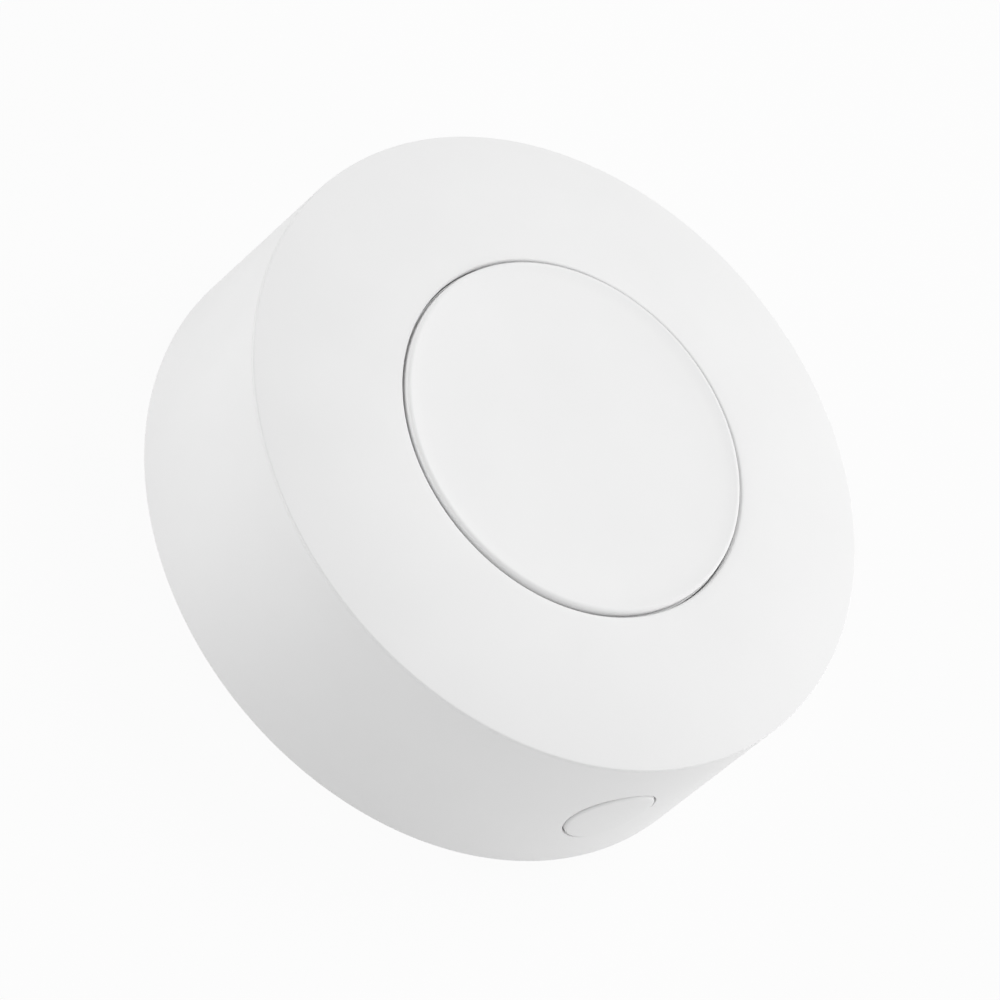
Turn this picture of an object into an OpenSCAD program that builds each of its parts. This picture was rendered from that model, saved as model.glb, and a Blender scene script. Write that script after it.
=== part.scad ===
// Round smart button: a white puck with a large push button in its domed front,
// a small round key in its side wall, and a coin cell and a circuit board inside.
// +Z is the button's axis, and the side key faces -Y.
// The origin is the centre of the adhesive face on the back.

/* [Body] */
// Outside diameter at the parting line
body_d = 40; // [36:0.5:50]
// Height of the side wall, from the back rim to the parting line
wall_h = 12.4; // [11.6:0.1:16]
// Thickness of the side wall at the back rim
wall_t = 1.6; // [1.2:0.1:2]
// Draft of the side wall, in degrees
wall_draft = 1; // [0.25:0.25:2]
// Rounding of the back edge
rim_round = 0.3; // [0.1:0.05:0.6]

/* [Front cover] */
// Rise of the dome from the parting line to the button opening
dome_rise = 1.9; // [1.4:0.1:4]
// Rounding of the dome's edge
edge_round = 0.12; // [0.05:0.01:0.3]
// Slope of the dome just inside its edge, in degrees
dome_edge_slope = 19.5; // [12:0.1:26]
// Slope of the dome at the button opening, in degrees
dome_top_slope = 2.6; // [1:0.1:9]
// Thickness of the cover beside the button opening
cover_t = 1.5; // [1.2:0.1:2]
// Depth of the skirt that plugs into the wall
skirt_h = 2; // [1:0.1:2.6]
// Depth of the collar that guides the button
collar_h = 2.6; // [2.2:0.1:2.9]

/* [Main button] */
// Diameter of the button cap
cap_d = 22.1; // [19:0.1:24]
// Gap between the cap and its opening
cap_gap = 0.16; // [0.1:0.02:0.3]
// Height of the cap's rim above the edge of the opening
cap_proud = 0.25; // [0.1:0.05:0.6]
// Depth of the gentle dish in the cap's face
cap_dish = 0.2; // [0.05:0.05:0.3]
// Width of the dished border around the flat middle
dish_border = 4.5; // [3:0.1:7]
// Width of the upturned lip inside the cap's edge
lip_w = 0.8; // [0.5:0.1:1.5]
// Slope of the lip at its crest over that of the dish, in degrees
lip_slope = 8; // [2:1:20]
// Rounding of the cap's edge
cap_round = 0.22; // [0.15:0.01:0.4]
// Thickness of the cap's face
cap_t = 1.2; // [0.8:0.1:1.4]
// Travel of the cap
cap_travel = 0.35; // [0.2:0.05:0.4]

/* [Side key] */
// Diameter of the side key
key_d = 5.4; // [4:0.1:6.2]
// Gap between the side key and its hole
key_gap = 0.1; // [0.05:0.01:0.2]
// Height of the key's face above the wall
key_proud = 0.1; // [0:0.05:0.15]
// Travel of the side key
key_travel = 0.3; // [0.15:0.05:0.35]

/* [Base] */
// Thickness of the back cover
base_t = 1.4; // [1.2:0.1:2]
// Gap between the back cover and the wall around it
base_gap = 0.12; // [0.08:0.02:0.25]
// Height of the ring that plugs into the body
spigot_h = 1.1; // [0.6:0.1:1.3]
// Diameter of the adhesive pad
pad_d = 30; // [20:0.5:33]
// Thickness of the adhesive pad
pad_t = 0.8; // [0.6:0.1:1.1]
// Height of the pad's face behind the back rim
pad_proud = 0.3; // [0.1:0.05:0.5]

/* [Battery] */
// Diameter of the coin cell
cell_d = 20; // [18:0.1:24]
// Height of the coin cell
cell_h = 3.2; // [2.5:0.1:4]

/* [Electronics] */
// Thickness of the circuit board
board_t = 1; // [0.8:0.1:1.6]
// Width of the main switch
tact_w = 6; // [5.2:0.1:6.5]
// Height of the main switch, from the board to the top of its stem
tact_h = 3.1; // [2.9:0.1:3.8]
// Height of the side switch below the board
side_h = 2.6; // [2.4:0.1:3]
// Width of the side switch
side_w = 4.6; // [4:0.1:6]

/* [Screws] */
// Diameter of the screw shank
screw_d = 1.5; // [1.2:0.1:1.7]
// Diameter of the screw head
head_d = 2.8; // [2.4:0.1:3]

/* [Hidden] */
$fn = 96;
// Overshoot of a cutting tool past the face that it cuts
cut = 0.5;
// Gap between two faces that touch and slide
slip = 0.03;
// Steps along a curved stretch of a profile
curve_steps = 14;

// Heights of the casing
rim_z = pad_proud;
part_z = rim_z + wall_h;
open_z = part_z + dome_rise;
collar_z = open_z - collar_h;
base_top_z = rim_z + base_t;

// Radii of the casing
body_r = body_d / 2;
function wall_r(z) = body_r - (part_z - z) * tan(wall_draft);
bore_r = wall_r(rim_z) - wall_t;
cap_r = cap_d / 2;
open_r = cap_r + cap_gap;
collar_t = 1.4;
collar_r = open_r + collar_t;
skirt_gap = 0.1;
skirt_t = 1;
skirt_r = bore_r - skirt_gap;
// Step between the wall and the dome at the parting line
parting_step = 0.01;
cover_r = body_r - parting_step;
// Height of the dome's edge above the parting line
edge_rise = 0.08;
// Rounding of the edge of the button opening
lip_round = 0.15;

// Coin cell, from the back cover up
cell_floor_gap = 0.3;
cell_z = base_top_z + cell_floor_gap;
cell_top_z = cell_z + cell_h;
cell_r = cell_d / 2;
can_t = 0.35;
crimp_h = 0.7;
lid_step = 0.9;
core_top = 0.8;

// Circuit board, above the cell
contact_room = 2.6;
board_z = cell_top_z + contact_room;
board_top_z = board_z + board_t;

// Side key, on the axis of the switch that it presses
key_z = board_z - side_h / 2;
key_r = key_d / 2;
key_lip = 0.5;
key_flange_t = 0.6;
key_flange_gap = 0.15;
key_flange_r = bore_r - key_flange_gap;
key_flange_in = key_flange_r - key_flange_t;
plunger_r = 1;
edge_gap = 0.15;
board_r = key_flange_in - key_travel - edge_gap;

// Cradle around the cell
cell_gap = 0.15;
cradle_t = 0.8;
cradle_in = cell_r + cell_gap;
cradle_out = cradle_in + cradle_t;
cradle_lift = 0.6;
peg_r = 0.35;
peg_angles = [30, 120, 200, 300];
contact_w = 4;
contact_t = 0.25;
contact_foot = 2.4;
leaf_arm = 5;
leaf_tip = 1;
leaf_kick = 0.2;
thumb_w = 9;

// Screws, in lugs on the wall
screw_angles = [90, 210, 330];
head_r = head_d / 2;
head_h = 1.1;
slot_w = 0.45;
slot_edge = 0.55;
shank_r = screw_d / 2;
pilot_r = shank_r + 0.03;
clear_r = shank_r + 0.2;
wall_clear = 0.5;
screw_circle = bore_r - head_r - wall_clear;
lug_h = 2;
lug_r = head_r + 0.45;
lug_z = board_z - lug_h;
boss_r = shank_r + 0.95;
boss_root = 0.3;
bite = 2.6;
screw_len = lug_h + board_t + bite;

// Main switch on the board
stem_r = 1.75;
stem_gap = 0.08;
stem_spare = 0.25;
tact_plate_t = 0.3;
tact_base_h = tact_h - cap_travel - stem_spare - tact_plate_t;
well_r = 2.3;
stem_flange_r = 2.1;
stem_flange_t = 0.4;
stem_flange_z = board_top_z + tact_base_h - slip - stem_flange_t;
dome_t = 0.1;
dome_crown = 2 * cap_travel;
dome_r = well_r - 0.1;
dome_z = stem_flange_z - slip - dome_t - dome_crown;
well_floor = dome_z - slip - board_top_z;
leg_spread = 4.5;
leg_w = 0.7;
leg_t = 0.2;
leg_reach = 1.2;

// Side switch under the board, outside the cradle
side_back_gap = 0.1;
side_back = cradle_out + side_back_gap;
side_base_d = 1.8;
side_plate_t = 0.4;
side_front = side_back + side_base_d + side_plate_t;
side_stem_r = 0.8;
side_spare = 0.1;
side_stem_out = key_travel + side_spare;
side_tip = side_front + side_stem_out;
side_flange_r = 1.1;
side_flange_t = 0.45;
side_well_r = 1.2;
side_well_d = side_flange_t + key_travel + edge_gap;

// Cap, hung under the collar
cap_top_z = open_z + cap_proud;
lip_rise = lip_w * tan(lip_slope) / 2;
rim_slope = atan(3 * cap_dish / dish_border + tan(lip_slope));
lip_z = cap_top_z - cap_round * (1 - cos(rim_slope));
cap_dish_z = lip_z - lip_rise - cap_dish;
cap_under_z = cap_dish_z - cap_t;
land_gap = 0.06;
land_drop = 0.4;
land_r = open_r - land_gap;
land_z = open_z - land_drop;
cap_wall = 1.1;
damper_t = 0.3;
flange_top_z = collar_z - damper_t - slip;
flange_t = 0.6;
flange_inset = 0.2;
flange_r = collar_r - flange_inset;
damper_inset = 0.1;
cap_boss_r = 1.6;
cap_boss_z = board_top_z + tact_h + slip;

// Push-fit ribs of the back cover
plate_r = bore_r - base_gap;
spigot_t = 0.9;
rib_w = 0.8;
rib_in = plate_r - spigot_t / 2;
rib_count = 6;
rib_start = 15;
pad_r = pad_d / 2;
pad_side_gap = 0.2;
rest_inset = 4;
rest_r = cell_r - rest_inset;
pry_w = 6;
pry_depth = 0.9;

// Notch in the skirt and in the back cover's ring that clears the key's flange
key_notch_r = key_r + key_lip + edge_gap;

// Parts on the board: size, and distance of the centre from the board's edge
radio_size = [5, 5, 0.85];
radio_inset = 5.2;
crystal_size = [2.5, 3.2, 0.7];
crystal_inset = 5.6;
led_size = [1.6, 0.8, 0.6];
ceramic_size = [1, 0.5, 0.5];
ceramic_inset = 9.4;
resistor_size = [1, 0.5, 0.35];
resistor_inset = 8.4;
reservoir_size = [2.8, 3.5, 1.6];
reservoir_inset = 2.3;
foil_t = 0.05;
trace_w = 0.5;
trace_inset = 1.2;
trace_reach = 3;
fold_pitch = 1.3;
fold_count = 7;
test_pad_r = 0.6;
test_pad_inset = 1.4;

// Point on a cubic curve
function curve(a, b, c, d, t) =
    pow(1 - t, 3) * a + 3 * pow(1 - t, 2) * t * b + 3 * (1 - t) * t * t * c + t * t * t * d;

// Arc points about a centre
function arc(c, r, from, to) =
    [for (i = [0:curve_steps]) let (a = from + (to - from) * i / curve_steps) c + r * [cos(a), sin(a)]];

// Dome, from the parting line over its edge to the lip of the opening
dome_edge = arc([cover_r - edge_round, part_z + edge_rise], edge_round, 0, 90 - dome_edge_slope);
dome_foot = dome_edge[curve_steps];
dome_end = [open_r + lip_round, open_z];
dome_third = (dome_foot[0] - dome_end[0]) / 3;
dome_points = concat([[cover_r, part_z]], dome_edge, [for (i = [1:curve_steps])
    curve(dome_foot, dome_foot + dome_third * [-1, tan(dome_edge_slope)],
        dome_end + dome_third * [1, -tan(dome_top_slope)], dome_end, i / curve_steps)]);

// Face of the cap, from its flat middle to the inside of its rim
lip_r = cap_r - cap_round * (1 + sin(rim_slope));
dish_points = [for (i = [0:2 * curve_steps]) let (t = i / (2 * curve_steps), inset = dish_border * (1 - t))
    [lip_r - inset, cap_dish_z + cap_dish * pow(t, 3) + lip_rise * pow(max(0, 1 - inset / lip_w), 2)]];

// Places a child at a screw's axis, on the given height
module at_screw(angle, z) {
    rotate([0, 0, angle]) translate([screw_circle, 0, z]) children();
}

// Turns a child's +Z to the key's outward direction, starting at a distance from the axis
module toward_key(from) {
    translate([0, -from, key_z]) rotate([90, 0, 0]) children();
}

// Box centred on a point of the board's upper face, turned about +Z
module chip(pos, size, turn = 0) {
    translate([pos[0], pos[1], board_top_z]) rotate([0, 0, turn])
        translate([-size[0] / 2, -size[1] / 2, 0]) cube(size);
}

function polar(r, a) = [r * cos(a), r * sin(a)];

// Domed front with the button opening, a skirt inside the wall and three screw bosses
module front_cover() {
    color("white") difference() {
        union() {
            rotate_extrude() polygon(concat(
                dome_points,
                arc([open_r + lip_round, open_z - lip_round], lip_round, 90, 180),
                [[open_r, collar_z], [collar_r, collar_z], [collar_r, open_z - cover_t],
                    [skirt_r - skirt_t, part_z], [skirt_r - skirt_t, part_z - skirt_h],
                    [skirt_r, part_z - skirt_h], [skirt_r, part_z]]));
            for (a = screw_angles)
                at_screw(a, board_top_z) cylinder(r = boss_r, h = part_z + boss_root - board_top_z);
        }
        for (a = screw_angles)
            at_screw(a, board_top_z - cut) cylinder(r = pilot_r, h = bite + 2 * cut);
        toward_key(board_r)
            cylinder(r = key_notch_r, h = bore_r - board_r);
    }
}

// Drafted side wall with the key's hole and three lugs for the screws
module body_shell() {
    round_z = rim_z + rim_round;
    color("white") difference() {
        union() {
            rotate_extrude() polygon(concat(
                arc([wall_r(round_z) - rim_round, round_z], rim_round, -90, 0),
                [[body_r, part_z], [bore_r, part_z], [bore_r, rim_z]]));
            for (a = screw_angles) {
                at_screw(a, lug_z) cylinder(r = lug_r, h = lug_h);
                at_screw(a, lug_z) translate([0, -lug_r, 0])
                    cube([bore_r - screw_circle + wall_t / 2, 2 * lug_r, lug_h]);
            }
        }
        for (a = screw_angles)
            at_screw(a, lug_z - cut) cylinder(r = clear_r, h = lug_h + 2 * cut);
        toward_key(key_flange_in) cylinder(r = key_r + key_gap, h = body_r);
    }
}

// Plug-in back cover that stays on the wall, with a seat for the pad and a ring that holds the cell up
module back_cover() {
    seat_z = rim_z + pad_t - pad_proud;
    seat_r = pad_r + pad_side_gap;
    spigot_z = base_top_z + spigot_h;
    color("gainsboro") difference() {
        union() {
            rotate_extrude() polygon([
                [0, seat_z], [seat_r, seat_z], [seat_r, rim_z], [plate_r, rim_z],
                [plate_r, spigot_z], [plate_r - spigot_t, spigot_z], [plate_r - spigot_t, base_top_z],
                [rest_r + spigot_t, base_top_z], [rest_r + spigot_t, cell_z - slip],
                [rest_r, cell_z - slip], [rest_r, base_top_z], [0, base_top_z]]);
            for (i = [0:rib_count - 1])
                rotate([0, 0, rib_start + 360 * i / rib_count])
                    translate([rib_in, -rib_w / 2, base_top_z - rib_w])
                        cube([bore_r - slip - rib_in, rib_w, spigot_h + rib_w]);
        }
        translate([-pry_w / 2, plate_r - pry_depth, rim_z - cut])
            cube([pry_w, 2 * pry_depth, base_t / 2 + cut]);
        translate([-key_notch_r, -bore_r, key_z - key_notch_r])
            cube([2 * key_notch_r, bore_r - plate_r + 2 * spigot_t, key_notch_r]);
    }
}

// Foam tape disc in the seat of the back cover
module adhesive_pad() {
    color("dimgray") cylinder(r = pad_r, h = pad_t);
}

// Dished cap on a skirt with a guide land, a flange that hangs under the collar and a boss over the switch
module button_cap() {
    color("white") rotate_extrude() polygon(concat(
        [[0, cap_dish_z]],
        dish_points,
        arc([cap_r - cap_round, cap_top_z - cap_round], cap_round, 90 + rim_slope, 0),
        [[cap_r, land_z], [land_r, land_z], [land_r, flange_top_z],
            [flange_r, flange_top_z], [flange_r, flange_top_z - flange_t],
            [cap_r - cap_wall, flange_top_z - flange_t], [cap_r - cap_wall, cap_under_z],
            [cap_boss_r, cap_under_z], [cap_boss_r, cap_boss_z], [0, cap_boss_z]]));
}

// Foam ring under the collar, which quietens the cap's return
module button_damper() {
    color("darkslategray") translate([0, 0, collar_z - damper_t]) difference() {
        cylinder(r = collar_r - damper_inset, h = damper_t);
        translate([0, 0, -cut]) cylinder(r = open_r + damper_inset, h = damper_t + 2 * cut);
    }
}

// Round key, flush in the wall, with a flange behind it and a plunger to its switch
module side_key() {
    color("white") union() {
        intersection() {
            toward_key(key_flange_in + key_flange_gap) cylinder(r = key_r, h = body_r);
            translate([0, 0, rim_z])
                cylinder(r1 = wall_r(rim_z) + key_proud, r2 = body_r + key_proud, h = wall_h);
        }
        intersection() {
            toward_key(key_flange_in - key_r) cylinder(r = key_r + key_lip, h = body_r);
            translate([0, 0, rim_z]) difference() {
                cylinder(r = key_flange_r, h = wall_h);
                translate([0, 0, -cut]) cylinder(r = key_flange_in, h = wall_h + 2 * cut);
            }
        }
        toward_key(side_tip + slip) cylinder(r = plunger_r, h = key_flange_in + key_flange_gap - side_tip);
    }
}

// Round board, clamped between the lugs and the bosses
module circuit_board() {
    color("darkgreen") translate([0, 0, board_z]) difference() {
        cylinder(r = board_r, h = board_t);
        for (a = screw_angles)
            rotate([0, 0, a]) translate([screw_circle, 0, -cut]) cylinder(r = clear_r, h = board_t + 2 * cut);
        for (a = peg_angles)
            rotate([0, 0, a]) translate([(cradle_in + cradle_out) / 2, 0, -cut])
                cylinder(r = peg_r + slip, h = board_t + 2 * cut);
    }
}

// Radio and processor in one flat package
module radio_chip() {
    color("black") chip(polar(board_r - radio_inset, 150), radio_size, 15);
}

// Quartz crystal beside the radio chip
module crystal() {
    color("silver") chip(polar(board_r - crystal_inset, 180), crystal_size);
}

// Folded copper aerial near the board's edge
module antenna_trace() {
    color("goldenrod") translate([board_r - trace_inset - trace_reach, 0, board_top_z])
        translate([0, -(fold_count - 1) * fold_pitch / 2, 0]) linear_extrude(height = foil_t) union() {
            for (i = [0:fold_count - 1])
                translate([0, i * fold_pitch - trace_w / 2]) square([trace_reach, trace_w]);
            for (i = [0:fold_count - 2])
                translate([i % 2 == 0 ? 0 : trace_reach - trace_w, i * fold_pitch - trace_w / 2])
                    square([trace_w, fold_pitch + trace_w]);
        }
}

// Light that glows through the gap round the cap
module status_led() {
    color("ivory") chip(polar(open_r, 60), led_size, 150);
}

// Small ceramic capacitors around the chip
module chip_capacitors() {
    color("tan") for (i = [0:5])
        chip(polar(board_r - ceramic_inset, 108 + 16 * i), ceramic_size, 108 + 16 * i);
}

// Small resistors on the other side of the switch
module chip_resistors() {
    color("dimgray") for (i = [0:3])
        chip(polar(board_r - resistor_inset, 290 + 14 * i), resistor_size, 290 + 14 * i);
}

// Moulded capacitor that carries the radio's bursts
module reservoir_capacitor() {
    color("darkorange") chip(polar(board_r - reservoir_inset, 240), reservoir_size, 240);
}

// Round test pads on the board's underside
module test_pads() {
    color("gold") for (i = [0:4])
        rotate([0, 0, 120 + 13 * i]) translate([board_r - test_pad_inset, 0, board_z - foil_t])
            cylinder(r = test_pad_r, h = foil_t);
}

// Moulded base of the main switch, with a well for its dome and stem
module main_switch_base() {
    color("black") translate([0, 0, board_top_z]) difference() {
        translate([-tact_w / 2, -tact_w / 2, 0]) cube([tact_w, tact_w, tact_base_h]);
        translate([0, 0, well_floor]) cylinder(r = well_r, h = tact_base_h);
    }
}

// Steel plate that closes the main switch
module main_switch_cover() {
    color("silver") translate([0, 0, board_top_z + tact_base_h]) difference() {
        translate([-tact_w / 2, -tact_w / 2, 0]) cube([tact_w, tact_w, tact_plate_t]);
        translate([0, 0, -cut]) cylinder(r = stem_r + stem_gap, h = tact_plate_t + 2 * cut);
    }
}

// Round stem of the main switch, held by its flange under the plate
module main_switch_stem() {
    color("dimgray") union() {
        translate([0, 0, stem_flange_z]) cylinder(r = stem_flange_r, h = stem_flange_t);
        translate([0, 0, stem_flange_z]) cylinder(r = stem_r, h = board_top_z + tact_h - stem_flange_z);
    }
}

// Snap dome of spring steel under the stem
module main_switch_dome() {
    bow = [for (i = [0:curve_steps]) let (t = i / curve_steps)
        [dome_r * t, dome_z + dome_crown * cos(90 * t)]];
    color("lightgray") rotate_extrude() polygon(concat(
        bow, [for (i = [curve_steps:-1:0]) bow[i] + [0, dome_t]]));
}

// Four bent legs soldered to the board
module main_switch_legs() {
    color("silver") for (sx = [-1, 1], sy = [-1, 1])
        mirror_x(sx) translate([tact_w / 2, (sy * leg_spread - leg_w) / 2, board_top_z]) union() {
            cube([leg_t, leg_w, well_floor]);
            cube([leg_reach, leg_w, leg_t]);
        }
}

// Mirrors a child across the YZ plane where the sign is negative
module mirror_x(sign) {
    mirror([sign < 0 ? 1 : 0, 0, 0]) children();
}

// Moulded base of the side switch, under the board
module side_switch_base() {
    color("black") difference() {
        translate([-side_w / 2, -side_back - side_base_d, board_z - side_h])
            cube([side_w, side_base_d, side_h]);
        toward_key(side_back + side_base_d - side_well_d) cylinder(r = side_well_r, h = side_well_d + cut);
    }
}

// Steel plate on the front of the side switch
module side_switch_cover() {
    color("silver") difference() {
        translate([-side_w / 2, -side_front, board_z - side_h]) cube([side_w, side_plate_t, side_h]);
        toward_key(side_front - side_plate_t - cut)
            cylinder(r = side_stem_r + stem_gap, h = side_plate_t + 2 * cut);
    }
}

// Stem of the side switch, held by its flange behind the plate
module side_switch_stem() {
    flange_at = side_front - side_plate_t - slip - side_flange_t;
    color("ivory") union() {
        toward_key(flange_at) cylinder(r = side_flange_r, h = side_flange_t);
        toward_key(flange_at) cylinder(r = side_stem_r, h = side_tip - flange_at);
    }
}

// Two tabs that solder the side switch to the board
module side_switch_legs() {
    color("silver") for (sx = [-1, 1])
        mirror_x(sx) translate([side_w / 2, -side_back - side_base_d, board_z - leg_t])
            cube([leg_w, side_base_d, leg_t]);
}

// Ring that holds the coin cell, pegged to the board
module battery_cradle() {
    cradle_z = cell_z + cradle_lift;
    thumb_h = cell_h / 2;
    color("whitesmoke") difference() {
        union() {
            translate([0, 0, cradle_z]) cylinder(r = cradle_out, h = board_z - cradle_z);
            for (a = peg_angles)
                rotate([0, 0, a]) translate([(cradle_in + cradle_out) / 2, 0, cradle_z])
                    cylinder(r = peg_r, h = board_top_z - cradle_z);
        }
        translate([0, 0, cradle_z - cut]) cylinder(r = cradle_in, h = board_z - cradle_z + cut + slip);
        translate([cell_r - cut, -contact_w / 2 - edge_gap, cradle_z - cut])
            cube([cradle_out - cell_r + 2 * cut, contact_w + 2 * edge_gap, board_z - cradle_z + cut]);
        translate([-thumb_w / 2, cell_r / 2, cradle_z - cut]) cube([thumb_w, cell_r, thumb_h + cut]);
    }
}

// Steel can of the coin cell, its positive pole
module cell_can() {
    color("silver") translate([0, 0, cell_z]) difference() {
        cylinder(r = cell_r, h = cell_h - crimp_h);
        translate([0, 0, can_t]) cylinder(r = cell_r - can_t, h = cell_h);
    }
}

// Electrode stack inside the can
module cell_core() {
    color("gray") translate([0, 0, cell_z + can_t])
        cylinder(r = cell_r - can_t - lid_step, h = cell_h - can_t - core_top);
}

// Insulating ring between the can and the lid
module cell_gasket() {
    color("black") translate([0, 0, cell_z + can_t]) difference() {
        cylinder(r = cell_r - can_t, h = cell_h - can_t - crimp_h / 2);
        translate([0, 0, -cut]) cylinder(r = cell_r - can_t - lid_step, h = cell_h);
    }
}

// Lid of the coin cell, its negative pole
module cell_lid() {
    color("lightgray") translate([0, 0, cell_top_z - core_top])
        cylinder(r = cell_r - can_t - lid_step, h = core_top);
}

// Spring strip against the side of the can, soldered to the board by its foot
module positive_contact() {
    strip_z = cell_z + 2 * cradle_lift;
    color("gold") translate([cell_r + slip, -contact_w / 2, 0]) union() {
        translate([0, 0, strip_z]) cube([contact_t, contact_w, board_z - strip_z]);
        translate([0, 0, board_z - contact_t]) cube([contact_foot, contact_w, contact_t]);
    }
}

// Bent leaf between the board and the lid
module negative_contact() {
    leaf_z = cell_top_z + slip;
    bend = leaf_arm - leaf_tip;
    color("gold") translate([0, contact_w / 2, 0]) rotate([90, 0, 0])
        linear_extrude(height = contact_w) polygon([
            [-leaf_arm, board_z], [-leaf_tip, board_z], [bend, leaf_z + contact_t],
            [leaf_arm, leaf_z + leaf_kick + contact_t], [leaf_arm, leaf_z + leaf_kick], [bend, leaf_z],
            [-leaf_tip, board_z - contact_t], [-leaf_arm, board_z - contact_t]]);
}

// Three pan head screws through the lugs and the board into the bosses
module assembly_screws() {
    slot_len = head_d - 2 * slot_edge;
    color("silver") for (a = screw_angles)
        at_screw(a, lug_z) difference() {
            union() {
                translate([0, 0, -head_h]) cylinder(r = head_r, h = head_h);
                cylinder(r = shank_r, h = screw_len);
            }
            for (turn = [0, 90])
                rotate([0, 0, turn]) translate([-slot_len / 2, -slot_w / 2, -head_h - cut])
                    cube([slot_len, slot_w, head_h / 2 + cut]);
        }
}

front_cover();
body_shell();
back_cover();
adhesive_pad();
button_cap();
button_damper();
side_key();
circuit_board();
radio_chip();
crystal();
antenna_trace();
status_led();
chip_capacitors();
chip_resistors();
reservoir_capacitor();
test_pads();
main_switch_base();
main_switch_cover();
main_switch_stem();
main_switch_dome();
main_switch_legs();
side_switch_base();
side_switch_cover();
side_switch_stem();
side_switch_legs();
battery_cradle();
cell_can();
cell_core();
cell_gasket();
cell_lid();
positive_contact();
negative_contact();
assembly_screws();
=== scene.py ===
# A round white smart button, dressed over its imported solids, in metres.
# It lies on its adhesive face, with the push button up and the side key towards -Y.
import math
import bpy
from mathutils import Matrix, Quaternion, Vector


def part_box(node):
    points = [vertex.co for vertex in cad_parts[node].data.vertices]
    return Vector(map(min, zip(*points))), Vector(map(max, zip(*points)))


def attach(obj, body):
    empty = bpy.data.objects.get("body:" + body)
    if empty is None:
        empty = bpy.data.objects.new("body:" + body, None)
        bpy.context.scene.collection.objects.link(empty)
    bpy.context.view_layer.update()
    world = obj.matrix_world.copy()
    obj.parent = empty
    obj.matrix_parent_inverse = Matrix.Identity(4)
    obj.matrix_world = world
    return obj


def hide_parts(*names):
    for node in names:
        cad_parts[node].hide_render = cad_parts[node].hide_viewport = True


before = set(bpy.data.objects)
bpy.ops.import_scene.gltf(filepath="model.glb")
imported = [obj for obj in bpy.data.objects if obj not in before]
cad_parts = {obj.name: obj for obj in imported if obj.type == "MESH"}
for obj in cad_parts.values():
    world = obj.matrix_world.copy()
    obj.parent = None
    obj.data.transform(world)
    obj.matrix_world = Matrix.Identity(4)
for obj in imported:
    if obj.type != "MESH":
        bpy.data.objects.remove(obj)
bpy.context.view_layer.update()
bpy.context.scene.view_settings.view_transform = "Standard"


# Front cover: the domed front, moulded in white plastic, with the round opening for the push button.
# Its skirt plugs into the side wall, and three bosses under it take the screws.
mm = 0.001
cover_low, cover_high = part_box("front_cover")
shell_low, shell_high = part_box("body_shell")
body_r = shell_high.x
part_z = shell_high.z
open_z = cover_high.z
board_top = cover_low.z
open_r = 11.21 * mm
collar_r = 12.61 * mm
collar_z = open_z - 2.6 * mm
collar_back = open_z - 1.5 * mm
skirt_r = 18.08 * mm
skirt_in = skirt_r - 1 * mm
skirt_z = part_z - 2 * mm
lip = 0.15 * mm
dome_r = body_r - 0.01 * mm
edge_z = part_z + 0.08 * mm
edge_round = 0.12 * mm
edge_slope = 19.5
top_slope = 2.6
screw_circle = 16.28 * mm
screw_angles = (90, 210, 330)
boss_r = 1.7 * mm
boss_root = part_z + 0.3 * mm
pilot_r = 0.78 * mm
pilot_end = board_top + 3.1 * mm
casing_white = (0.86, 0.86, 0.86)
matte = 0.60
matte_shine = 0.14


def arc(centre_r, centre_z, radius, start, stop, steps=8):
    """Points of an arc in the half-plane of radius and height, between two angles in degrees."""
    turns = [math.radians(start + (stop - start) * i / steps) for i in range(steps + 1)]
    return [(centre_r + radius * math.cos(a), centre_z + radius * math.sin(a)) for a in turns]


def bow(start, start_slope, end, end_slope, steps):
    """Points of an evenly curved stretch between two points, with its slopes at the ends in degrees."""
    third = (start[0] - end[0]) / 3
    a, d = Vector(start), Vector(end)
    b = a + third * Vector((-1, math.tan(math.radians(start_slope))))
    c = d + third * Vector((1, -math.tan(math.radians(end_slope))))
    points = []
    for i in range(steps + 1):
        t = i / steps
        p = (1 - t) ** 3 * a + 3 * (1 - t) ** 2 * t * b + 3 * (1 - t) * t * t * c + t ** 3 * d
        points.append((p.x, p.y))
    return points


def draw(name, outline, y=0):
    """A new piece in edit mode: an outline drawn vertex by vertex in the plane of X and Z."""
    bpy.ops.object.select_all(action="DESELECT")
    bpy.ops.mesh.primitive_plane_add(size=mm, location=(0, 0, 0))
    piece = bpy.context.object
    piece.name = name
    bpy.ops.object.mode_set(mode="EDIT")
    bpy.ops.mesh.select_mode(type="VERT")
    bpy.ops.mesh.select_all(action="SELECT")
    bpy.ops.mesh.merge(type="CENTER")
    here = outline[0]
    bpy.ops.transform.translate(value=(here[0], y, here[1]))
    for there in outline[1:]:
        step = (there[0] - here[0], 0, there[1] - here[1])
        bpy.ops.mesh.extrude_vertices_move(TRANSFORM_OT_translate={"value": step})
        here = there
    bpy.ops.mesh.select_all(action="SELECT")
    return piece


def spin_outline(name, outline, steps=192):
    """A solid of revolution: an outline spun once round the button's axis."""
    on_axis = outline[0][0] == 0 and outline[-1][0] == 0
    piece = draw(name, outline if on_axis else outline + outline[:1])
    bpy.ops.mesh.spin(steps=steps, angle=2 * math.pi, center=(0, 0, 0), axis=(0, 0, 1))
    bpy.ops.mesh.select_all(action="SELECT")
    bpy.ops.mesh.remove_doubles(threshold=0.002 * mm)
    bpy.ops.mesh.normals_make_consistent(inside=False)
    bpy.ops.object.mode_set(mode="OBJECT")
    return piece


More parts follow.
